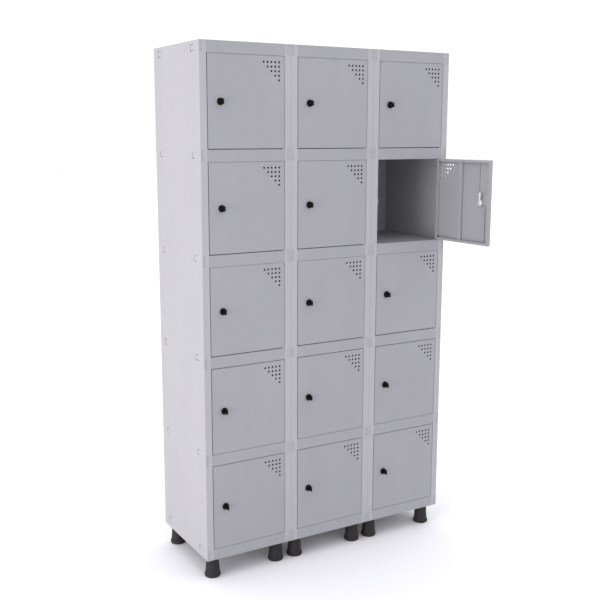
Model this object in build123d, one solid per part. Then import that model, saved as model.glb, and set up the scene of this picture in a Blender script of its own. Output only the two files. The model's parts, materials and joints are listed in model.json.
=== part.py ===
"""Fifteen-compartment steel locker: three modules side by side, five hinged doors in each.

Millimetres, +Z up. The origin is the centre of the carcass footprint, on the floor.
The doors face -Y. Every latch is unlocked; the door in row 2 of the right-hand module stands open.
"""
import os

from build123d import *

# ---- driving dimensions -------------------------------------------------------------------------
WIDTH, DEPTH, BODY_H = 1060.0, 400.0, 1850.0  # steel body, without the feet
FOOT_H = 83.0
MODULES, ROWS = 3, 5
MODULE_GAP = 0.5  # between the flat sides of two neighbouring modules
SHEET = 1.0  # thickness of every folded sheet
FIT = 0.3  # assembly clearance between sheet parts that slot together

END_RAIL_H, SHELF_RAIL_H = 41.0, 42.0  # visible fronts of the top and base, and of the shelves
POST_W, POST_D, POST_RETURN = 26.0, 20.0, 14.0  # folded front post: face, web, inner return
REAR_FLANGE, SHELF_FLANGE, RAIL_RETURN = 15.0, 15.0, 18.0

DOOR_D, DOOR_LIP, HINGE_LIP, DOOR_RECESS = 13.0, 10.0, 11.0, 1.0
BOX_OPEN = 14.0  # the boxed hinge edge of a door stops this far from the door's top and bottom
DOOR_GAP_HINGE, DOOR_GAP_LATCH = 0.7, 2.8
HUNG_HIGH, HUNG_LOW = (2.4, 0.4), (0.4, 2.4)  # gaps below and above a door
DOOR_GAPS = {1: HUNG_HIGH, 2: HUNG_HIGH, 3: HUNG_HIGH, 4: HUNG_LOW, 5: HUNG_LOW}
DOOR_CORNER_R = 1.2
PIN_INSET = 2.7  # hinge axis, in from the door's front and from its hinge edge
PIN_R, PIN_CLEARANCE, PIN_HEAD_R, PIN_HEAD_T = 1.5, 0.05, 2.5, 1.5
PIN_REACH = 5.0  # how far a pin stands into the door beyond its edge wall
COLLAR_R, COLLAR_CLEARANCE = 2.6, 0.1
OPEN_ANGLE = 91.5  # how far the open door stands open
OPEN_COLUMN, OPEN_ROW = 3, 2

VENT_ROWS, VENT_PITCH, VENT_R = 5, 15.2, 3.7
VENT_EDGE, VENT_TOP = 21.5, 22.0  # corner vent, in from the door's hinge edge and top edge

HAT_AT, HAT_CROWN, HAT_FLANGE, HAT_D = 136.0, 19.0, 8.0, 9.5  # door stiffener, from the hinge edge
UPPER_RIB_AT, UPPER_RIB_W, UPPER_RIB_D = 230.5, 9.0, 3.5
LOWER_RIB_AT, LOWER_RIB_W, LOWER_RIB_D = 264.0, 9.5, 4.0

LATCH_AT = 250.0  # latch axis, from the hinge edge, at half the door's height
FLANGE_R, FLANGE_T = 12.5, 4.8
BARREL_R, BARREL_END = 9.0, 15.8  # threaded barrel through the door; its end, from the frame front
NUT_R, NUT_T = 12.5, 13.0
SPINDLE_R, SPINDLE_CLEARANCE = 6.0, 0.05
HEAD_R, HEAD_T, HEAD_GAP = 9.0, 1.5, 0.1
EAR_T, TAB_T, EAR_HALF, EAR_OUT, EAR_GAP = 2.4, 3.4, 9.0, 17.6, 0.2  # padlock ear and turning tab
EAR_MIDDLE, EAR_NOSE_R = 0.4, 2.5  # how near the ear comes to the axis; its rounded front corners
EAR_ROOT, EAR_ROOT_T = 11.0, 3.0  # where the ear joins the flange, beyond the turning head
EYE_R, EYE_AT, EYE_OUT = 3.2, 4.8, 11.0
CAM_T, CAM_W, CAM_LENGTH, CAM_HUB_R, CAM_SQUARE = 2.0, 9.0, 39.5, 10.0, 7.0
SCREW_R, SCREW_L, SCREW_HEAD_R, SCREW_HEAD_T = 2.0, 10.0, 4.5, 2.2
KEEPER_OUT, KEEPER_H = 14.5, 14.0  # the angle behind which a cam turns

FOOT_TOP_R, FOOT_BASE_R, FOOT_RIM_H = 22.5, 30.0, 13.0
FOOT_IN_X, FOOT_IN_FRONT, FOOT_IN_BACK = 42.0, 48.0, 26.0
FOOT_BOLT_R, FOOT_BOLT_HEAD, FOOT_BOLT_HEAD_T, FOOT_BOLT_REACH = 4.0, 13.0, 5.3, 28.0
JOIN_BOLT_R, JOIN_BOLT_HEAD, JOIN_BOLT_HEAD_T = 3.0, 10.0, 4.0
JOIN_BOLT_Y, JOIN_BOLT_UP = (95.0, 305.0), (250.0, 930.0, 1610.0)  # from the front and the body's foot

TAB_L, TAB_H, TAB_CUT = 25.0, 22.0, 1.4  # lanced shelf tabs seen on the outer sides
TAB_Y = (45.0, 332.0)
TAB_DOWN = (24.0, 19.0, 13.0, 7.0, 1.0, 9.0)  # below the top of each rail, from the highest rail down
CLIP_SLOT_NEAR, CLIP_SLOT_LATCH, CLIP_SLOT_HINGE = 3.0, 8.0, 13.0  # windows in the post faces
WALL_HOLE_R, WALL_HOLE_SPACING, WALL_HOLE_DOWN = 4.0, 250.0, 60.0

# ---- values that follow -------------------------------------------------------------------------
MODULE_W = (WIDTH - (MODULES - 1) * MODULE_GAP) / MODULES
OPENING_W = MODULE_W - 2 * POST_W
OPENING_H = (BODY_H - 2 * END_RAIL_H - (ROWS - 1) * SHELF_RAIL_H) / ROWS
PITCH = OPENING_H + SHELF_RAIL_H
DOOR_W = OPENING_W - DOOR_GAP_HINGE - DOOR_GAP_LATCH
DOOR_H = OPENING_H - sum(HUNG_HIGH)
DOOR_BACK = DOOR_RECESS + DOOR_D
SKIN_BACK = DOOR_RECESS + SHEET
FRONT, BOTTOM, TOP = -DEPTH / 2, FOOT_H, FOOT_H + BODY_H
FLANGE_FRONT = DOOR_RECESS - FLANGE_T
HEAD_FRONT = FLANGE_FRONT - HEAD_GAP - HEAD_T
CAM_FRONT = BARREL_END + 0.2
KEEPER_BACK = CAM_FRONT - 0.4


def slab(x, y, z):
    """A box between three (low, high) pairs."""
    return Pos(sum(x) / 2, sum(y) / 2, sum(z) / 2) * Box(x[1] - x[0], y[1] - y[0], z[1] - z[0])


def rod(radius, y, x=0.0, z=0.0):
    """A cylinder along Y between y[0] and y[1]."""
    return Pos(x, sum(y) / 2, z) * Rot(90, 0, 0) * Cylinder(radius, y[1] - y[0])


def post(radius, z, x=0.0, y=0.0):
    """A cylinder along Z between z[0] and z[1]."""
    return Pos(x, y, sum(z) / 2) * Cylinder(radius, z[1] - z[0])


def module_left(column):
    return -WIDTH / 2 + (column - 1) * (MODULE_W + MODULE_GAP)


def opening_bottom(row):
    """Height of the sill of a compartment; row 1 is the highest."""
    return TOP - END_RAIL_H - OPENING_H - (row - 1) * PITCH


def door_middle(row):
    """Height of a door's middle, where its latch is."""
    return opening_bottom(row) + DOOR_GAPS[row][0] + DOOR_H / 2


def hinge_x(column):
    return module_left(column) + MODULE_W - POST_W - DOOR_GAP_HINGE - PIN_INSET


def hinge_place(column, row):
    """Moves a part from the door's own frame, with Z on the hinge axis, to its place in the locker."""
    at = Pos(hinge_x(column), FRONT + DOOR_RECESS + PIN_INSET, door_middle(row))
    is_open = (column, row) == (OPEN_COLUMN, OPEN_ROW)
    return at * Rot(0, 0, OPEN_ANGLE) if is_open else at


def node(name, *solids):
    """One sub-part: its solids, written as one file."""
    flat = [s for shape in solids for s in shape.solids()]
    export_step(Compound(label=name, children=flat), f"parts/{name}.step")


# ---- carcass: drawn in a module's own frame, x from its left side, y from its front, z from the floor
def clip_windows(hinge_side):
    """Windows in a post's face, one beside each rail, that show the clip plates behind them."""
    width = CLIP_SLOT_HINGE if hinge_side else CLIP_SLOT_LATCH
    levels = [(opening_bottom(row) - SHELF_RAIL_H, opening_bottom(row)) for row in range(1, ROWS)]
    levels += [(BOTTOM + SHEET, BOTTOM + END_RAIL_H), (TOP - END_RAIL_H, TOP - SHEET)]
    x = (CLIP_SLOT_NEAR, CLIP_SLOT_NEAR + width)
    return [slab(x, (-1, SHEET + 1), (low + 2, high - 2)) for low, high in levels]


def lanced_tab(y, z):
    """The three-sided cut round a tab that was pushed through the side sheet into a shelf."""
    outer = slab((-1, SHEET + 1), (y, y + TAB_L), (z - TAB_H / 2, z + TAB_H / 2))
    tongue = slab((-2, SHEET + 2), (y - 1, y + TAB_L - 2 * TAB_CUT),
                  (z - TAB_H / 2 + TAB_CUT, z + TAB_H / 2 - TAB_CUT))
    return outer - tongue


def side_panel(hinge_side, outer_side):
    """One folded side: flat wall, boxed front post and rear flange; drawn as a left-hand side."""
    z = (BOTTOM + SHEET, TOP - SHEET)
    wall = slab((0, SHEET), (0, DEPTH), z)
    face = slab((0, POST_W), (0, SHEET), z)
    web = slab((POST_W - SHEET, POST_W), (0, POST_D), z)
    inner_return = slab((POST_W - POST_RETURN, POST_W), (POST_D - SHEET, POST_D), z)
    rear = slab((0, REAR_FLANGE), (DEPTH - 2 * SHEET, DEPTH - SHEET), z)
    panel = wall + face + web + inner_return + rear
    panel -= clip_windows(hinge_side)
    if outer_side:
        rail_tops = [TOP] + [opening_bottom(row) for row in range(1, ROWS + 1)]
        panel -= [lanced_tab(y, top - down) for top, down in zip(rail_tops, TAB_DOWN) for y in TAB_Y]
    else:
        panel -= [Pos(0, y, BOTTOM + up) * Rot(0, 90, 0) * Cylinder(JOIN_BOLT_R, 4 * SHEET)
                  for y in JOIN_BOLT_Y for up in JOIN_BOLT_UP]
    return panel


def side_panels(column):
    left = side_panel(False, column == 1)
    right = Pos(MODULE_W, 0, 0) * mirror(side_panel(True, column == MODULES), about=Plane.YZ)
    return left, right


def pin_hole(z):
    x = MODULE_W - POST_W - DOOR_GAP_HINGE - PIN_INSET
    return post(PIN_R, (z - 2 * SHEET, z + 2 * SHEET), x, DOOR_RECESS + PIN_INSET)


def between_posts():
    return POST_W + FIT, MODULE_W - POST_W - FIT


def between_walls():
    return SHEET + FIT, MODULE_W - SHEET - FIT


def rail(z):
    """A shelf's visible front with its lower return, which carries the top hinge pin of a door."""
    front = slab(between_posts(), (0, SHEET), z)
    lower_return = slab(between_posts(), (0, RAIL_RETURN), (z[0], z[0] + SHEET))
    return front + lower_return


def shelf(top, rail_h):
    """A compartment's floor, folded down at the front into the rail and at the other three sides."""
    x, back = between_walls(), DEPTH - 2 * SHEET - FIT
    deck = slab(between_posts(), (0, POST_D + 1), (top - SHEET, top))
    deck += slab(x, (POST_D + FIT, back), (top - SHEET, top))
    low = top - SHELF_FLANGE
    for wall in ((x[0], x[0] + SHEET), (x[1] - SHEET, x[1])):
        deck += slab(wall, (POST_D + FIT, back), (low, top))
    deck += slab(x, (back - SHEET, back), (low, top))
    return deck + rail((top - rail_h, top)) - pin_hole(top)


def shelves():
    """Four shelves and the floor of the lowest compartment."""
    made = [shelf(opening_bottom(row), SHELF_RAIL_H) - pin_hole(opening_bottom(row) - SHELF_RAIL_H)
            for row in range(1, ROWS)]
    return made + [shelf(opening_bottom(ROWS), END_RAIL_H - SHEET - FIT)]


def top_panel():
    """The lid: a sheet over posts and sides, with its front folded down between the posts."""
    sheet = slab((0, MODULE_W), (0, DEPTH), (TOP - SHEET, TOP))
    return sheet + rail((TOP - END_RAIL_H, TOP - SHEET)) - pin_hole(TOP - END_RAIL_H)


def foot_places():
    return [(x, y) for x in (FOOT_IN_X, MODULE_W - FOOT_IN_X)
            for y in (FOOT_IN_FRONT, DEPTH - FOOT_IN_BACK)]


def base_panel():
    """The closing sheet under the module, to which the feet are bolted."""
    sheet = slab((0, MODULE_W), (0, DEPTH), (BOTTOM, BOTTOM + SHEET))
    return sheet - [post(FOOT_BOLT_R, (BOTTOM - 1, BOTTOM + 2), x, y) for x, y in foot_places()]


def back_panel():
    """The rear sheet, with a pair of wall-fixing holes near its top."""
    sheet = slab(between_walls(), (DEPTH - SHEET, DEPTH), (BOTTOM + SHEET, TOP - SHEET))
    xs = (MODULE_W / 2 - WALL_HOLE_SPACING / 2, MODULE_W / 2 + WALL_HOLE_SPACING / 2)
    return sheet - [rod(WALL_HOLE_R, (DEPTH - 3, DEPTH + 3), x, TOP - WALL_HOLE_DOWN) for x in xs]


def shelf_clips():
    """Plates inside the posts, one beside each rail, that tie the shelves to the posts."""
    inner = (SHEET + FIT, POST_W - SHEET - FIT)
    plates = []
    levels = [(opening_bottom(row) - SHELF_RAIL_H, opening_bottom(row)) for row in range(1, ROWS)]
    levels += [(BOTTOM + SHEET + FIT, BOTTOM + END_RAIL_H), (TOP - END_RAIL_H, TOP - SHEET - FIT)]
    for low, high in levels:
        for x in (inner, (MODULE_W - inner[1], MODULE_W - inner[0])):
            plates.append(slab(x, (SHEET, 2 * SHEET), (low, high)))
    return plates


def keepers():
    """One angle for each latch: a leg welded to the post's web, and a tongue in front of the cam."""
    made = []
    for row in range(1, ROWS + 1):
        z = (door_middle(row) - KEEPER_H / 2, door_middle(row) + KEEPER_H / 2)
        leg = slab((POST_W, POST_W + SHEET), (KEEPER_BACK - SHEET, POST_D), z)
        made.append(leg + slab((POST_W, POST_W + KEEPER_OUT), (KEEPER_BACK - SHEET, KEEPER_BACK), z))
    return made


def hinge_pins():
    """Two pins for each door; the lower one has a collar on which the door rests."""
    pins = []
    x, y = MODULE_W - POST_W - DOOR_GAP_HINGE - PIN_INSET, DOOR_RECESS + PIN_INSET
    reach = SHEET + PIN_REACH
    for row in range(1, ROWS + 1):
        sill = opening_bottom(row)
        lintel = sill + OPENING_H
        below, above = DOOR_GAPS[row]
        lower = post(PIN_R, (sill - SHEET, sill + below + reach), x, y)
        lower += post(PIN_HEAD_R, (sill - SHEET - PIN_HEAD_T, sill - SHEET), x, y)
        lower += post(COLLAR_R, (sill, sill + below - COLLAR_CLEARANCE), x, y)
        upper = post(PIN_R, (lintel - above - reach, lintel + SHEET), x, y)
        upper += post(PIN_HEAD_R, (lintel + SHEET, lintel + SHEET + PIN_HEAD_T), x, y)
        pins += [lower, upper]
    return pins


# ---- door: drawn closed, with Z on the hinge axis, z = 0 at half height, the free edge towards -X
def from_hinge_edge(distance):
    return PIN_INSET - distance


def depth(y):
    """A depth behind the frame's front, in the door's own frame."""
    return y - DOOR_RECESS - PIN_INSET


def door_vents():
    holes = []
    for line in range(VENT_ROWS):
        z = DOOR_H / 2 - VENT_TOP - line * VENT_PITCH
        for hole in range(VENT_ROWS - line):
            x = from_hinge_edge(VENT_EDGE + hole * VENT_PITCH)
            holes.append(rod(VENT_R, (depth(DOOR_RECESS - 1), depth(SKIN_BACK + 1)), x, z))
    return holes


def door_pan():
    """The folded pan: skin, four edge walls, the lip round the back, and the boxed hinge edge."""
    x = (from_hinge_edge(DOOR_W), from_hinge_edge(0))
    z = (-DOOR_H / 2, DOOR_H / 2)
    block = slab(x, (depth(DOOR_RECESS), depth(DOOR_BACK)), z)
    front_face = block.faces().sort_by(Axis.Y)[0]
    pan = fillet(front_face.edges(), DOOR_CORNER_R)
    pan -= slab((x[0] + SHEET, x[1] - SHEET), (depth(SKIN_BACK), depth(DOOR_BACK - SHEET)),
                (z[0] + SHEET, z[1] - SHEET))
    pan -= slab((x[0] + DOOR_LIP, x[1] - HINGE_LIP), (depth(SKIN_BACK), depth(DOOR_BACK + 1)),
                (z[0] + DOOR_LIP, z[1] - DOOR_LIP))
    pan += slab((x[1] - HINGE_LIP, x[1] - HINGE_LIP + SHEET), (depth(SKIN_BACK), depth(DOOR_BACK)),
                (z[0] + BOX_OPEN, z[1] - BOX_OPEN))
    pan -= door_vents()
    pan -= rod(BARREL_R, (depth(DOOR_RECESS - 1), depth(SKIN_BACK + 1)), from_hinge_edge(LATCH_AT))
    for low, high in ((z[0] - 1, z[0] + SHEET + 1), (z[1] - SHEET - 1, z[1] + 1)):
        pan -= post(PIN_R + PIN_CLEARANCE, (low, high))
    return pan


def channel(at, crown, flange, height, z):
    """A hat section welded to the inside of the skin; flange is the width of each foot."""
    centre, base = from_hinge_edge(at), depth(SKIN_BACK)
    half = crown / 2
    section = slab((centre - half, centre + half), (base + height - SHEET, base + height), z)
    for side in (-1, 1):
        wall = sorted((centre + side * half, centre + side * (half - SHEET)))
        section += slab(wall, (base, base + height), z)
        if flange:
            foot = sorted((centre + side * half, centre + side * (half + flange)))
            section += slab(foot, (base, base + SHEET), z)
    return section


def door_stiffeners():
    """The hat down the door and the two narrow ribs above and below the latch."""
    inside = DOOR_H / 2 - SHEET - FIT
    hat = channel(HAT_AT, HAT_CROWN, HAT_FLANGE, HAT_D, (-inside, inside))
    upper = channel(UPPER_RIB_AT, UPPER_RIB_W, 0, UPPER_RIB_D, (1.0, inside))
    lower = channel(LOWER_RIB_AT, LOWER_RIB_W, 0, LOWER_RIB_D, (-inside, -NUT_R - 1.0))
    return hat, upper, lower


# ---- latch: drawn locked, with Y on its axis, y from the frame's front, the cam towards -X
def padlock_plate(x, z, back):
    """A plate standing forward of the latch head, pierced by the padlock eye."""
    plate = slab(x, (HEAD_FRONT - EAR_OUT, back), z)
    nose = plate.edges().filter_by(Axis.Z).group_by(Axis.Y)[0]
    eye = Pos(-EYE_AT, HEAD_FRONT - EYE_OUT, 0) * Cylinder(EYE_R, 20)
    return fillet(nose, EAR_NOSE_R) - eye


def latch_housing():
    """The fixed plastic body: flange, barrel through the skin, and the fixed half of the padlock ear."""
    flange = rod(FLANGE_R, (FLANGE_FRONT, DOOR_RECESS))
    flange = fillet(flange.edges().sort_by(Axis.Y)[0], 1.2)
    body = flange + rod(BARREL_R, (DOOR_RECESS, BARREL_END))
    body -= rod(SPINDLE_R + SPINDLE_CLEARANCE, (FLANGE_FRONT - 1, BARREL_END + 1))
    z = (-EAR_GAP / 2 - EAR_T, -EAR_GAP / 2)
    back = HEAD_FRONT - EAR_GAP
    ear = padlock_plate((-EAR_HALF, -EAR_MIDDLE), z, back)
    ear += slab((-EAR_ROOT, 3.0 - EAR_HALF), (back - EAR_ROOT_T, back), z)
    ear += slab((-EAR_ROOT, -HEAD_R - 0.3), (back - EAR_ROOT_T, FLANGE_FRONT + 1), z)
    return body + ear


def latch_nut():
    """The sleeve nut that clamps the housing to the skin."""
    ring = rod(NUT_R, (SKIN_BACK, SKIN_BACK + NUT_T))
    ring = chamfer(ring.edges().sort_by(Axis.Y)[-1], 0.8)
    return ring - rod(BARREL_R, (SKIN_BACK - 1, SKIN_BACK + NUT_T + 1))


def latch_rotor():
    """The turning spindle: head, padlock tab, and a square end that drives the cam."""
    back = CAM_FRONT + CAM_T
    spindle = rod(SPINDLE_R, (HEAD_FRONT + HEAD_T, CAM_FRONT))
    spindle += rod(HEAD_R, (HEAD_FRONT, HEAD_FRONT + HEAD_T))
    spindle += slab((-CAM_SQUARE / 2, CAM_SQUARE / 2), (CAM_FRONT, back), (-CAM_SQUARE / 2, CAM_SQUARE / 2))
    spindle += padlock_plate((-EAR_HALF, EAR_HALF), (EAR_GAP / 2, EAR_GAP / 2 + TAB_T), HEAD_FRONT)
    return spindle - rod(SCREW_R, (back - SCREW_L, back + 1))


def latch_cam():
    """The steel cam: a hub with a square hole, and an arm with a rounded tip."""
    y = (CAM_FRONT, CAM_FRONT + CAM_T)
    straight = CAM_LENGTH - CAM_W / 2
    arm = slab((-straight, 0), y, (-CAM_W / 2, CAM_W / 2)) + rod(CAM_W / 2, y, -straight)
    square = (-CAM_SQUARE / 2, CAM_SQUARE / 2)
    return rod(CAM_HUB_R, y) + arm - slab(square, (y[0] - 1, y[1] + 1), square)


def cam_screw():
    back = CAM_FRONT + CAM_T
    return rod(SCREW_R, (back - SCREW_L, back)) + rod(SCREW_HEAD_R, (back, back + SCREW_HEAD_T))


# ---- feet and fasteners
def foot():
    """A conical moulded foot with a rim at the floor, bored for its bolt."""
    outline = Polyline((0, 0), (FOOT_BASE_R, 0), (FOOT_BASE_R, FOOT_RIM_H - 2), (FOOT_BASE_R - 2, FOOT_RIM_H),
                       (FOOT_TOP_R, FOOT_H - 4), (FOOT_TOP_R + 1, FOOT_H - 3), (FOOT_TOP_R + 1, FOOT_H),
                       (0, FOOT_H), close=True)
    body = revolve(Plane.XZ * make_face(outline), Axis.Z)
    return body - post(FOOT_BOLT_R, (FOOT_H - FOOT_BOLT_REACH, FOOT_H + 1))


def hexagon(across_flats, height):
    return extrude(RegularPolygon(across_flats / 2, 6, major_radius=False), height)


def foot_bolt():
    """A hexagon bolt down through the base sheet into the foot."""
    shank = post(FOOT_BOLT_R, (BOTTOM - FOOT_BOLT_REACH, BOTTOM + SHEET))
    return shank + Pos(0, 0, BOTTOM + SHEET) * hexagon(FOOT_BOLT_HEAD, FOOT_BOLT_HEAD_T)


def join_bolt():
    """A bolt and its nut across the seam between two modules, centred on the seam."""
    half = SHEET + MODULE_GAP / 2
    shank = post(JOIN_BOLT_R, (-half, half + JOIN_BOLT_HEAD_T + 2))
    bolt = shank + Pos(0, 0, -half - JOIN_BOLT_HEAD_T) * hexagon(JOIN_BOLT_HEAD, JOIN_BOLT_HEAD_T)
    nut = Pos(0, 0, half) * hexagon(JOIN_BOLT_HEAD, JOIN_BOLT_HEAD_T) - shank
    return [Rot(0, 90, 0) * bolt, Rot(0, 90, 0) * nut]


# ---- the whole locker
def place_module(column, *shapes):
    return [Pos(module_left(column), FRONT, 0) * shape for shape in shapes]


os.makedirs("parts", exist_ok=True)
columns, rows = range(1, MODULES + 1), range(1, ROWS + 1)

for column in columns:
    node(f"module_{column}_sides", *place_module(column, *side_panels(column)))
    node(f"module_{column}_back", *place_module(column, back_panel()))
    node(f"module_{column}_shelves", *place_module(column, *shelves()))
node("top_panels", *[part for column in columns for part in place_module(column, top_panel())])
node("base_panels", *[part for column in columns for part in place_module(column, base_panel())])
fittings = shelf_clips() + keepers()
node("clips_and_keepers", *[part for column in columns for part in place_module(column, *fittings)])
node("hinge_pins", *[part for column in columns for part in place_module(column, *hinge_pins())])

one_foot, one_bolt = foot(), foot_bolt()
corners = [(column, x, y) for column in columns for x, y in foot_places()]
node("feet", *[part for column, x, y in corners for part in place_module(column, Pos(x, y, 0) * one_foot)])
bolts = [part for column, x, y in corners for part in place_module(column, Pos(x, y, 0) * one_bolt)]
for column in columns[1:]:
    seam = module_left(column) - MODULE_GAP / 2
    bolts += [Pos(seam, FRONT + y, BOTTOM + up) * part
              for y in JOIN_BOLT_Y for up in JOIN_BOLT_UP for part in join_bolt()]
node("frame_bolts", *bolts)

pan, stiffeners = door_pan(), door_stiffeners()
fixed = (latch_housing(), latch_nut())
turning = (latch_rotor(), latch_cam(), cam_screw())
latch_in_door = Pos(from_hinge_edge(LATCH_AT), depth(0), 0)
unlocked = Rot(0, 90, 0)
for column in columns:
    for row in rows:
        place = hinge_place(column, row)
        latch_place = place * latch_in_door
        node(f"door_{column}_{row}", *[place * part for part in (pan, *stiffeners)])
        node(f"latch_body_{column}_{row}", *[latch_place * part for part in fixed])
        node(f"latch_rotor_{column}_{row}", *[latch_place * unlocked * part for part in turning])
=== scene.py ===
import json
import math

import bmesh
import bpy
from mathutils import Matrix, Vector

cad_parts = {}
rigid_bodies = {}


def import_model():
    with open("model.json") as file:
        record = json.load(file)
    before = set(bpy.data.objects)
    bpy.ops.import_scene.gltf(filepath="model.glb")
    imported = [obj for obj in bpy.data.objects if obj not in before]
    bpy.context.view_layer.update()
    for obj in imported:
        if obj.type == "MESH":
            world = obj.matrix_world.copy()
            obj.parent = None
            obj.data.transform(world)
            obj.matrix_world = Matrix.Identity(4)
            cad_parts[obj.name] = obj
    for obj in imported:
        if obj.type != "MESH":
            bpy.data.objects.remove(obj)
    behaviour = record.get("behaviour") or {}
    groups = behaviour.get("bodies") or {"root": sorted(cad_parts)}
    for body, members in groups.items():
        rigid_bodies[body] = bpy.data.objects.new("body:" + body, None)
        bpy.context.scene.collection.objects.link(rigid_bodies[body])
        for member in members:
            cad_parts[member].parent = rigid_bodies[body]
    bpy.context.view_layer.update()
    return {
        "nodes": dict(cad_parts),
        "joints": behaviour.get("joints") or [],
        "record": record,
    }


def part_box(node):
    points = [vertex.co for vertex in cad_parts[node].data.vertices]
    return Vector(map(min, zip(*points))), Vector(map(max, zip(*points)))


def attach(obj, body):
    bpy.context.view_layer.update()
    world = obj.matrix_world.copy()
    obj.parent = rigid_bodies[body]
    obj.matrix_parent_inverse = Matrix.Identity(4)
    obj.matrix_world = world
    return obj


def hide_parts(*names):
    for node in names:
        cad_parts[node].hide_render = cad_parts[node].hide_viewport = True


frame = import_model()

MM = 0.001
scene = bpy.context.scene

# ---- sizes in mm that the detailed pieces share with the CAD solids they stand for
FLANGE_FRONT, FLANGE_BACK, FLANGE_R = -3.8, 1.0, 12.5
BARREL_R, BARREL_END = 9.0, 15.8
NUT_R, NUT_Y = 12.5, (2.0, 15.0)
SPINDLE_R = 6.0
HEAD_R, HEAD_Y = 9.0, (-5.4, -3.9)
PLATE_FRONT, EYE_Y, EYE_X, EYE_R = -23.0, -16.4, -4.8, 3.2
EAR_Z, TAB_Z = (-2.5, -0.1), (0.1, 3.5)
CAM_Y, CAM_W, CAM_LENGTH, CAM_HUB_R = (16.0, 18.0), 9.0, 39.5, 10.0
FOOT_H, FOOT_TOP_R, FOOT_BASE_R, FOOT_RIM_H = 83.0, 22.5, 30.0, 13.0
FOOT_IN_X, FOOT_IN_FRONT, FOOT_IN_BACK = 42.0, 48.0, 26.0

# ---- sizes in mm of the details that the CAD solids leave out
THREAD_PITCH, THREAD_DEPTH = 1.5, 0.75
GRIP_RIBS, GRIP_DEPTH = 24, 0.012  # ribs round the sleeve nut; their depth as a share of its radius
PLATE_EDGE_R = 0.35
SQUARE_HALF = 3.45  # the spindle's square end
CAM_HOLE_HALF = 3.5  # the cam's square hole
CROSS_HALF, CROSS_DEPTH = 0.45, 1.3  # the cam screw's recess
CIRCLE_STEPS = 24  # points round a padlock eye

# ---- paints, plastics and plating: base colours in linear light
SIDE_GREY, DOOR_GREY = (0.3175, 0.3145, 0.342), (0.2605, 0.2596, 0.2875)
CLIP_GREY = (0.300, 0.297, 0.324)
LATCH_BLACK, FOOT_BLACK = (0.004, 0.004, 0.0045), (0.0168, 0.0150, 0.0176)
ZINC_GREY, CAM_ZINC = (0.62, 0.62, 0.64), (0.84, 0.85, 0.885)
FLOOR_WHITE = (0.66, 0.66, 0.70)

# ---- studio and camera, in metres, watts and degrees
FLOOR_HALF = 40.0
DOME_AT_HORIZON, DOME_MORE_OVERHEAD = 1.0, 1.2
KEY_WATTS, KEY_COLOUR, KEY_SIZE = 222.0, (1.0, 0.97, 0.86), (4.2, 2.4)
KEY_PLACE, KEY_TARGET = (-6.0, -1.6, 0.87), (0.0, 0.0, 0.87)
CAMERA_PLACE, CAMERA_AZIMUTH, CAMERA_DOWN = (-1.8132, -3.0267, 1.6185), 29.94, 10.25
LENS_MM, SENSOR_MM, LENS_SHIFT = 54.29, 36.0, (0.018, -0.001)


# ---- shader graphs
class Graph:
    """A material's node tree, built with short calls."""

    def __init__(self, name):
        self.material = bpy.data.materials.new(name)
        self.material.use_nodes = True
        self.tree = self.material.node_tree
        self.shader = self.tree.nodes["Principled BSDF"]
        self.place = self.add("TexCoord").outputs["Object"]

    def add(self, kind, **settings):
        node = self.tree.nodes.new("ShaderNode" + kind)
        for key, value in settings.items():
            setattr(node, key, value)
        return node

    def feed(self, node, **values):
        """Sets a node's inputs by name: a number or colour is set, an output is linked."""
        for key, value in values.items():
            socket = node.inputs[key.replace("_", " ")]
            if isinstance(value, bpy.types.NodeSocket):
                self.tree.links.new(value, socket)
            else:
                socket.default_value = value

    def noise(self, scale, detail, roughness=0.5, stretch=(1, 1, 1), distortion=0.0):
        """Noise from 0 to 1 over the piece, in metres, stretched along an axis by a small factor."""
        spot = self.add("Mapping")
        self.feed(spot, Vector=self.place)
        spot.inputs["Scale"].default_value = stretch
        noise = self.add("TexNoise")
        self.feed(noise, Vector=spot.outputs["Vector"], Scale=scale, Detail=detail, Roughness=roughness)
        self.feed(noise, Distortion=distortion)
        return noise.outputs["Fac"]

    def ranged(self, value, low, high, start, end):
        """value's span from low to high becomes start to end, held beyond it."""
        ranged = self.add("MapRange")
        self.tree.links.new(value, ranged.inputs["Value"])
        for key, number in (("From Min", low), ("From Max", high), ("To Min", start), ("To Max", end)):
            ranged.inputs[key].default_value = number
        return ranged.outputs["Result"]

    def product(self, *values):
        """All the outputs given, multiplied together."""
        result = values[0]
        for value in values[1:]:
            times = self.add("Math", operation="MULTIPLY")
            self.tree.links.new(result, times.inputs[0])
            self.tree.links.new(value, times.inputs[1])
            result = times.outputs[0]
        return result

    def soft_edges(self, radius_mm):
        """The surface normal with every sharp edge rounded."""
        bevel = self.add("Bevel", samples=4)
        bevel.inputs["Radius"].default_value = radius_mm * MM
        return bevel.outputs["Normal"]

    def flatness(self, normal):
        """1 where the rounded normal is the surface's own, less towards an edge."""
        dot = self.add("VectorMath", operation="DOT_PRODUCT")
        self.tree.links.new(normal, dot.inputs[0])
        self.tree.links.new(self.add("NewGeometry").outputs["Normal"], dot.inputs[1])
        return dot.outputs["Value"]

    def bump(self, height, depth_mm, normal, strength):
        """The normal given, disturbed by a height."""
        bump = self.add("Bump")
        self.feed(bump, Height=height, Distance=depth_mm * MM, Strength=strength, Normal=normal)
        return bump.outputs["Normal"]

    def shaded(self, colour, value):
        """The colour, lighter or darker by a factor that varies over the surface."""
        node = self.add("HueSaturation")
        self.feed(node, Color=(*colour, 1.0), Value=value)
        return node.outputs["Color"]


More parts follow.
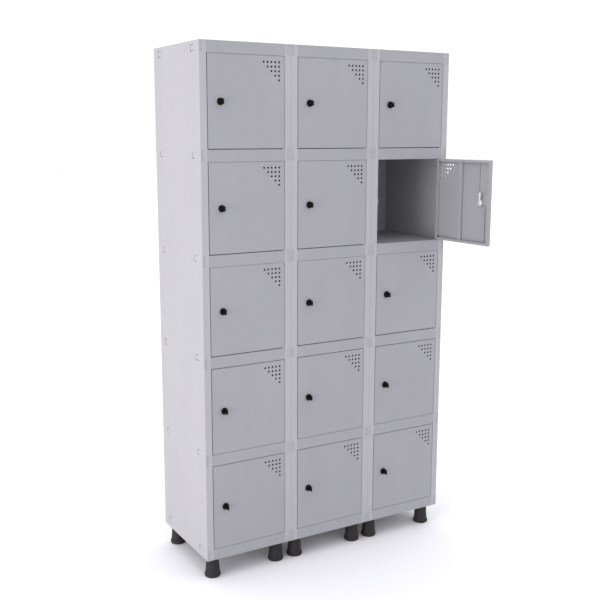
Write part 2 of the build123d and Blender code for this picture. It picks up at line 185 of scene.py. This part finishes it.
def painted_steel(name, colour):
    """Satin powder coat on folded sheet: orange peel, faint blotches and streaks, painted shade in the
    corners, edges lightened by painted highlight and wear.
    """
    g = Graph(name)
    clouds = g.ranged(g.noise(2.6, 4.0, 0.6), 0.3, 0.7, 0.982, 1.018)
    streaks = g.ranged(g.noise(16.0, 2.0, 0.5, (1, 1, 0.12)), 0.3, 0.7, 0.985, 1.015)
    smudges = g.ranged(g.noise(21.0, 5.0, 0.65, distortion=0.6), 0.35, 0.75, 1.012, 0.982)
    # painted shade: ambient occlusion darkens the paint by up to 8% in corners, creases and the gaps
    # between parts
    hollow = g.add("AmbientOcclusion", samples=4)
    hollow.inputs["Distance"].default_value = 12 * MM
    dust_and_painted_shade = g.ranged(hollow.outputs["AO"], 0.25, 0.85, 0.92, 1.0)
    normal = g.soft_edges(0.3)
    # edges lightened by up to 9% in patches: partly a painted highlight along every edge, partly paint
    # rubbed thin
    worn_and_highlit_edges = g.product(g.ranged(g.flatness(normal), 0.80, 0.985, 1.0, 0.0),
                       g.ranged(g.noise(38.0, 4.0, 0.7), 0.42, 0.62, 0.2, 1.0))
    lift = g.ranged(worn_and_highlit_edges, 0.0, 1.0, 1.0, 1.09)
    g.feed(g.shader, Base_Color=g.shaded(colour, g.product(clouds, streaks, smudges, dust_and_painted_shade, lift)))
    g.feed(g.shader, Roughness=g.ranged(g.noise(30.0, 3.0, 0.6), 0.3, 0.7, 0.40, 0.50))
    waves = g.bump(g.noise(5.0, 1.0, 0.4), 0.5, normal, 0.35)
    g.feed(g.shader, Normal=g.bump(g.noise(750.0, 2.0, 0.5), 0.03, waves, 0.5))
    g.feed(g.shader, Specular_IOR_Level=0.4)
    return g.material


def moulded_plastic(name, colour, rough, grain, gloss):
    """Moulded plastic: a fine eroded grain, faint flow marks, and a painted sheen that lightens the
    edges.
    """
    g = Graph(name)
    flow = g.ranged(g.noise(60.0, 3.0, 0.6, (1, 1, 0.3)), 0.3, 0.7, 0.85, 1.15)
    normal = g.soft_edges(0.35)
    # painted highlight: the colour is lightened by up to 35% towards every edge, standing in for sheen
    painted_edge_sheen = g.ranged(g.flatness(normal), 0.80, 0.985, 1.35, 1.0)
    # only dust here: random lighter specks, no shade
    dust_and_painted_shade = g.ranged(g.noise(180.0, 4.0, 0.7), 0.5, 0.8, 1.0, 1.25)
    g.feed(g.shader, Base_Color=g.shaded(colour, g.product(flow, painted_edge_sheen, dust_and_painted_shade)))
    g.feed(g.shader, Roughness=g.ranged(g.noise(220.0, 3.0, 0.6), 0.3, 0.7, *rough))
    g.feed(g.shader, Normal=g.bump(g.noise(grain, 2.0, 0.6), 0.04, normal, 0.6))
    g.feed(g.shader, Specular_IOR_Level=gloss)
    return g.material


def zinc_plate(name, colour, cloudy, rough):
    """Zinc plating on steel: fine drawn grain, cloudy passivation, edges worn smooth."""
    g = Graph(name)
    clouds = g.ranged(g.noise(140.0, 4.0, 0.6, distortion=0.4), 0.3, 0.7, 1.0 - cloudy, 1.0 + cloudy)
    specks = g.ranged(g.noise(900.0, 2.0, 0.6), 0.3, 0.75, 1.0 + cloudy / 3, 1.0 - cloudy)
    g.feed(g.shader, Base_Color=g.shaded(colour, g.product(clouds, specks)))
    g.feed(g.shader, Metallic=1.0)
    g.feed(g.shader, Roughness=g.ranged(g.noise(420.0, 3.0, 0.6, (1, 1, 0.2)), 0.3, 0.7, *rough))
    grain = g.noise(1600.0, 2.0, 0.5, (1, 1, 0.15))
    g.feed(g.shader, Normal=g.bump(grain, 0.02, g.soft_edges(0.3), 0.25))
    return g.material


def floor_finish(name):
    """A plain pale studio floor with the faintest unevenness."""
    g = Graph(name)
    clouds = g.ranged(g.noise(1.2, 2.0), 0.3, 0.7, 0.995, 1.005)
    g.feed(g.shader, Base_Color=g.shaded(FLOOR_WHITE, clouds))
    g.feed(g.shader, Roughness=g.ranged(g.noise(4.0, 2.0), 0.3, 0.7, 0.85, 0.9))
    g.feed(g.shader, Specular_IOR_Level=0.15)
    return g.material


body_paint = painted_steel("body_paint", SIDE_GREY)
door_paint = painted_steel("door_paint", DOOR_GREY)
clip_paint = painted_steel("clip_paint", CLIP_GREY)
latch_plastic = moulded_plastic("latch_plastic", LATCH_BLACK, (0.52, 0.64), 1400.0, 0.12)
foot_plastic = moulded_plastic("foot_plastic", FOOT_BLACK, (0.5, 0.65), 900.0, 0.25)
zinc = zinc_plate("zinc", ZINC_GREY, 0.07, (0.46, 0.58))
bright_zinc = zinc_plate("bright_zinc", CAM_ZINC, 0.02, (0.56, 0.64))

FINISH = {"body_paint": body_paint, "door_paint": door_paint, "zinc": zinc,
          "black_plastic": latch_plastic}
for part in frame["record"]["subparts"]:
    shown = frame["nodes"][part["node"]]
    shown.data.materials.clear()
    inside_posts = part["node"] == "clips_and_keepers"
    shown.data.materials.append(clip_paint if inside_posts else FINISH[part["material_slot"]])


# ---- mesh building, in mm, with Y along the latch or foot axis
def rounded(points, radii, steps=4):
    """A polyline with its inner corners rounded, each by its own radius."""
    out = [points[0]]
    for before, corner, after, r in zip(points, points[1:], points[2:], radii):
        a, b, c = Vector(before), Vector(corner), Vector(after)
        if r <= 0:
            out.append(tuple(b))
            continue
        one, two = (a - b).normalized(), (c - b).normalized()
        half = one.angle(two) / 2
        back = min(r / math.tan(half), 0.49 * (a - b).length, 0.49 * (c - b).length)
        p, q = b + one * back, b + two * back
        for i in range(steps + 1):
            t = i / steps
            out.append(tuple(p * (1 - t) ** 2 + b * 2 * t * (1 - t) + q * t ** 2))
    out.append(points[-1])
    return out


def mesh_of(name, bm, sharp_degrees):
    """Closes a bmesh into a mesh in metres, smooth except over sharp edges."""
    bmesh.ops.remove_doubles(bm, verts=bm.verts, dist=1e-4)
    bmesh.ops.recalc_face_normals(bm, faces=bm.faces)
    bmesh.ops.scale(bm, vec=(MM, MM, MM), verts=bm.verts)
    for face in bm.faces:
        face.smooth = True
    limit = math.radians(sharp_degrees)
    for edge in bm.edges:
        edge.smooth = len(edge.link_faces) == 2 and edge.calc_face_angle(0.0) < limit
    mesh = bpy.data.meshes.new(name)
    bm.to_mesh(mesh)
    bm.free()
    return mesh


def lathe(bm, profile, segments, ripple=None):
    """A closed turned form. The profile is (radius, y) from axis to axis, or a closed ring clear of the
    axis; ripple(angle, y) scales the radius."""
    rings = []
    for radius, y in profile:
        if radius < 1e-6:
            rings.append([bm.verts.new((0, y, 0))])
            continue
        ring = []
        for i in range(segments):
            angle = 2 * math.pi * i / segments
            r = radius * (ripple(angle, y) if ripple else 1.0)
            ring.append(bm.verts.new((r * math.cos(angle), y, r * math.sin(angle))))
        rings.append(ring)
    for low, high in zip(rings, rings[1:]):
        for i in range(segments):
            corners = [low[i % len(low)], low[(i + 1) % len(low)],
                       high[(i + 1) % len(high)], high[i % len(high)]]
            unique = list(dict.fromkeys(corners))
            if len(unique) > 2:
                bm.faces.new(unique)
    first, last = rings[0], rings[-1]
    if len(first) > 1:
        for i in range(segments):
            bm.faces.new([last[i], last[(i + 1) % segments], first[(i + 1) % segments], first[i]])


def circle(x, y, radius):
    """A closed outline of points on a circle."""
    return [(x + radius * math.cos(2 * math.pi * i / CIRCLE_STEPS),
             y + radius * math.sin(2 * math.pi * i / CIRCLE_STEPS)) for i in range(CIRCLE_STEPS)]


def plate(bm, outline, holes, low, high, bevel, turn):
    """A flat plate with holes and rounded edges. The outline is drawn in X and Y and spans low to high
    along Z before turn is applied."""
    curve = bpy.data.curves.new("outline", "CURVE")
    curve.dimensions = "2D"
    curve.fill_mode = "BOTH"
    curve.extrude = (high - low) / 2 - bevel
    curve.bevel_depth = bevel
    curve.bevel_resolution = 2
    curve.offset = -bevel
    for loop in (outline, *holes):
        spline = curve.splines.new("POLY")
        spline.points.add(len(loop) - 1)
        spline.use_cyclic_u = True
        for point, (x, y) in zip(spline.points, loop):
            point.co = (x, y, 0, 1)
    holder = bpy.data.objects.new("outline", curve)
    scene.collection.objects.link(holder)
    bpy.context.view_layer.update()
    flat = bpy.data.meshes.new_from_object(holder.evaluated_get(bpy.context.evaluated_depsgraph_get()))
    bpy.data.objects.remove(holder)
    bpy.data.curves.remove(curve)
    flat.transform(turn @ Matrix.Translation((0, 0, (low + high) / 2)))
    bm.from_mesh(flat)
    bpy.data.meshes.remove(flat)


def closed(corners, radii, steps=4):
    """A closed outline with rounded corners."""
    loop = []
    for i, corner in enumerate(corners):
        around = [corners[i - 1], corner, corners[(i + 1) % len(corners)]]
        loop += rounded(around, [radii[i]], steps)[1:-1]
    return loop


FLAT = Matrix.Identity(4)  # outline X, Y to latch X, Y


def housing_mesh():
    """Flange with a rolled rim and a shallow dish, threaded barrel, fixed half of the padlock ear."""
    bm = bmesh.new()
    front, back = FLANGE_FRONT, FLANGE_BACK
    profile = [(SPINDLE_R + 0.05, front + 0.3), (HEAD_R + 0.4, front + 0.3), (HEAD_R + 0.7, front),
               (FLANGE_R - 0.9, front), (FLANGE_R, front + 1.0), (FLANGE_R, back - 0.5),
               (FLANGE_R - 0.4, back), (BARREL_R, back)]
    body = rounded(profile, [0, 0.2, 0.9, 0.8, 0.3, 0.2])
    y, root = back + 0.4, BARREL_R - THREAD_DEPTH
    for _ in range(int((BARREL_END - back - 1.2) / THREAD_PITCH)):
        body += [(BARREL_R, y), (BARREL_R, y + 0.3), (root, y + 0.85), (root, y + 0.95)]
        y += THREAD_PITCH
    body += [(BARREL_R - 0.1, y), (BARREL_R - 0.1, BARREL_END - 0.7), (BARREL_R - 0.8, BARREL_END),
             (SPINDLE_R + 0.05, BARREL_END)]
    lathe(bm, body, 64)
    top = HEAD_Y[0] - 0.2
    ear = [(-9.0, PLATE_FRONT), (-0.4, PLATE_FRONT), (-0.4, top), (-9.3, top), (-9.3, front + 0.8),
           (-11.0, front + 0.8), (-11.0, top - 3.0), (-9.0, top - 3.0)]
    outline = closed(ear, [2.5, 2.5, 0.3, 0.2, 0.2, 0.2, 1.0, 0.8])
    plate(bm, outline, [circle(EYE_X, EYE_Y, EYE_R)], *EAR_Z, PLATE_EDGE_R, FLAT)
    return mesh_of("latch_housing", bm, 40)


def nut_mesh():
    """Sleeve nut: a wide foot on the skin, grip flats round it, and a chamfered end."""
    bm = bmesh.new()
    low, high = NUT_Y
    waist = NUT_R - 0.7
    profile = [(BARREL_R - 0.3, low), (NUT_R - 0.3, low), (NUT_R, low + 0.3), (NUT_R, low + 1.7),
               (waist, low + 2.3), (waist, high - 2.2), (NUT_R - 0.2, high - 1.7),
               (NUT_R - 0.2, high - 0.6), (NUT_R - 0.9, high), (BARREL_R + 0.5, high),
               (BARREL_R - 0.3, high - 0.8)]

    def grip(angle, y):
        if not low + 2.0 < y < high - 2.0:
            return 1.0
        return 1.0 - GRIP_DEPTH * (1 + math.cos(GRIP_RIBS * angle))

    lathe(bm, rounded(profile, [0.1, 0.1, 0.3, 0.3, 0.3, 0.3, 0.3, 0.4, 0.3]), 144, grip)
    return mesh_of("latch_nut", bm, 30)


def rotor_mesh():
    """Turning head with a dished face, the padlock tab, the spindle and its square end."""
    bm = bmesh.new()
    front, back = HEAD_Y
    end = CAM_Y[0]
    profile = [(0, front), (HEAD_R - 0.6, front), (HEAD_R, front + 0.6), (HEAD_R, back),
               (SPINDLE_R, back), (SPINDLE_R, end - 0.1), (4.6, end), (0, end)]
    lathe(bm, rounded(profile, [0.5, 0.3, 0.1, 0.4, 0.2, 0.2]), 48)
    tab = [(-9.0, PLATE_FRONT), (9.0, PLATE_FRONT), (9.0, -10.0), (8.3, front + 0.3), (-8.3, front + 0.3),
           (-9.0, -10.0)]
    outline = closed(tab, [2.5, 2.5, 2.0, 0.2, 0.2, 2.0])
    plate(bm, outline, [circle(EYE_X, EYE_Y, EYE_R)], *TAB_Z, 0.4, FLAT)
    half = SQUARE_HALF
    square = [(-half, end - 0.5), (half, end - 0.5), (half, CAM_Y[1]), (-half, CAM_Y[1])]
    plate(bm, square, [], -half, half, 0.4, FLAT)
    bmesh.ops.rotate(bm, verts=bm.verts, matrix=Matrix.Rotation(math.radians(90), 3, "Y"))
    return mesh_of("latch_rotor", bm, 40)


def cam_mesh():
    """Pressed steel cam: round hub, arm with rolled edges and a rounded tip, square hole."""
    bm = bmesh.new()
    half, tip = CAM_W / 2, CAM_LENGTH - CAM_W / 2
    start = math.asin(half / CAM_HUB_R)
    outline = []
    for i in range(41):
        angle = start + (2 * math.pi - 2 * start) * i / 40
        outline.append((-CAM_HUB_R * math.cos(angle), CAM_HUB_R * math.sin(angle)))
    for i in range(17):
        angle = -math.pi / 2 - math.pi * i / 16
        outline.append((-tip + half * math.cos(angle), half * math.sin(angle)))
    hole = CAM_HOLE_HALF
    square = closed([(-hole, -hole), (hole, -hole), (hole, hole), (-hole, hole)], [0.3] * 4, 2)
    low, high = CAM_Y
    plate(bm, outline, [square], -high, -low, PLATE_EDGE_R, Matrix.Rotation(math.radians(90), 4, "X"))
    bmesh.ops.rotate(bm, verts=bm.verts, matrix=Matrix.Rotation(math.radians(90), 3, "Y"))
    return mesh_of("latch_cam", bm, 40)


def screw_mesh():
    """Pan-head screw with a cross recess, holding the cam."""
    base, top, steps = CAM_Y[1], CAM_Y[1] + 2.2, 48
    angles = [2 * math.pi * (i + 0.5) / steps for i in range(steps)]

    def cross(angle, reach, half):
        """The point at an angle on the outline of a cross whose arms have a reach and a half width."""
        turned = (angle + math.pi / 4) % (math.pi / 2) - math.pi / 4
        slope = abs(math.tan(turned))
        point = Vector((min(reach, half / slope), math.copysign(min(half, reach * slope), turned)))
        point.rotate(Matrix.Rotation(angle - turned, 2))
        return point

    rings = [(4.5, base), (4.5, base + 0.8), (4.2, base + 1.35), (3.6, base + 1.8), (2.9, top - 0.1)]
    loops = [[(r * math.cos(a), y, r * math.sin(a)) for a in angles] for r, y in rings]
    for reach, half, y in ((2.5, CROSS_HALF, top), (2.3, CROSS_HALF - 0.05, top - 0.2),
                           (1.2, CROSS_HALF - 0.1, top - CROSS_DEPTH)):
        loops.append([(point.x, y, point.y) for point in (cross(a, reach, half) for a in angles)])
    bm = bmesh.new()
    made = [[bm.verts.new(point) for point in loop] for loop in loops]
    for low, high in zip(made, made[1:]):
        for i in range(steps):
            bm.faces.new([low[i], low[(i + 1) % steps], high[(i + 1) % steps], high[i]])
    bm.faces.new(made[-1])
    bm.faces.new(list(reversed(made[0])))
    return mesh_of("cam_screw", bm, 40)


def foot_mesh():
    """Conical foot: a bolted top collar, a long flare, a rolled rim and a small step at the floor."""
    bm = bmesh.new()
    top, base, rim, h = FOOT_TOP_R, FOOT_BASE_R, FOOT_RIM_H, FOOT_H
    profile = [(0, 0.0), (base - 2.6, 0.0), (base, 3.0), (base, rim - 1.6), (base - 1.2, rim),
               (base - 2.6, rim), (base - 2.9, rim + 1.2), (top + 0.2, h - 6.0), (top + 1.0, h - 3.6),
               (top + 1.0, h), (0, h)]
    lathe(bm, rounded(profile, [1.2, 2.5, 1.2, 0.5, 0.6, 0.8, 1.5, 0.8, 0.4]), 72)
    bmesh.ops.rotate(bm, verts=bm.verts, matrix=Matrix.Rotation(math.radians(90), 3, "X"))
    return mesh_of("foot", bm, 35)


def place(name, mesh, finish, body, node, matrix):
    """Puts a detailed piece on its body in place of a CAD node."""
    if not mesh.materials:
        mesh.materials.append(finish)
    piece = bpy.data.objects.new(name, mesh)
    scene.collection.objects.link(piece)
    piece.matrix_world = matrix
    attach(piece, body)
    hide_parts(node)


# ---- latches: one set of meshes, placed on each latch's axis
housing, nut, rotor, cam, screw = housing_mesh(), nut_mesh(), rotor_mesh(), cam_mesh(), screw_mesh()
for joint in frame["joints"]:
    if not joint["name"].startswith("latch_"):
        continue
    where = joint["child"].removeprefix("latch_")
    axis, up = Vector(joint["axis"]), Vector((0, 0, 1))
    matrix = Matrix.Translation(joint["pos_m"]) @ Matrix((axis.cross(up), axis, up)).transposed().to_4x4()
    door, latch = joint["parent"], joint["child"]
    body_node, rotor_node = "latch_body_" + where, "latch_rotor_" + where
    place("latch_housing_" + where, housing, latch_plastic, door, body_node, matrix)
    place("latch_nut_" + where, nut, zinc, door, body_node, matrix)
    place("latch_spindle_" + where, rotor, latch_plastic, latch, rotor_node, matrix)
    place("latch_cam_" + where, cam, bright_zinc, latch, rotor_node, matrix)
    place("cam_screw_" + where, screw, zinc, latch, rotor_node, matrix)

# ---- feet: four to a module
foot = foot_mesh()
for column in (1, 2, 3):
    low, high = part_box(f"module_{column}_sides")
    for side, x in (("left", low.x + FOOT_IN_X * MM), ("right", high.x - FOOT_IN_X * MM)):
        for end, y in (("front", low.y + FOOT_IN_FRONT * MM), ("back", high.y - FOOT_IN_BACK * MM)):
            place(f"foot_{column}_{end}_{side}", foot, foot_plastic, "root", "feet",
                  Matrix.Translation((x, y, 0)))

# ---- floor, light and camera
floor_mesh = bpy.data.meshes.new("floor")
bm = bmesh.new()
bmesh.ops.create_grid(bm, x_segments=8, y_segments=8, size=FLOOR_HALF)
bm.to_mesh(floor_mesh)
bm.free()
floor_mesh.materials.append(floor_finish("floor"))
floor = bpy.data.objects.new("floor", floor_mesh)
scene.collection.objects.link(floor)


def studio_dome(at_horizon, more_overhead):
    """A white dome that is brighter overhead than at the horizon."""
    world = bpy.data.worlds.new("studio")
    world.use_nodes = True
    tree = world.node_tree
    add = tree.nodes.new
    direction, parts = add("ShaderNodeTexCoord"), add("ShaderNodeSeparateXYZ")
    rise = add("ShaderNodeMapRange")
    rise.inputs["To Min"].default_value = at_horizon
    rise.inputs["To Max"].default_value = at_horizon + more_overhead
    tree.links.new(direction.outputs["Generated"], parts.inputs[0])
    tree.links.new(parts.outputs["Z"], rise.inputs["Value"])
    tree.links.new(rise.outputs["Result"], tree.nodes["Background"].inputs["Strength"])
    tree.nodes["Background"].inputs["Color"].default_value = (1.0, 1.0, 1.0, 1.0)
    scene.world = world


def softbox(name, watts, colour, size, position, target):
    """A rectangular area light aimed at a target, unseen by the camera."""
    lamp = bpy.data.lights.new(name, "AREA")
    lamp.energy, lamp.color = watts, colour
    lamp.shape, lamp.size, lamp.size_y = "RECTANGLE", *size
    holder = bpy.data.objects.new(name, lamp)
    holder.location = position
    holder.rotation_euler = (Vector(target) - Vector(position)).to_track_quat("-Z", "Y").to_euler()
    holder.visible_camera = False
    scene.collection.objects.link(holder)


studio_dome(DOME_AT_HORIZON, DOME_MORE_OVERHEAD)
softbox("key", KEY_WATTS, KEY_COLOUR, KEY_SIZE, KEY_PLACE, KEY_TARGET)

lens = bpy.data.cameras.new("camera")
lens.sensor_width, lens.lens = SENSOR_MM, LENS_MM
lens.shift_x, lens.shift_y = LENS_SHIFT
lens.clip_start, lens.clip_end = 0.05, 200.0
camera = bpy.data.objects.new("camera", lens)
aim = Matrix.Rotation(math.radians(-CAMERA_AZIMUTH), 4, "Z")
tilt = Matrix.Rotation(math.radians(90 - CAMERA_DOWN), 4, "X")
camera.matrix_world = Matrix.Translation(CAMERA_PLACE) @ aim @ tilt
scene.collection.objects.link(camera)
scene.camera = camera
scene.view_settings.view_transform = "Standard"
scene.view_settings.look = "None"
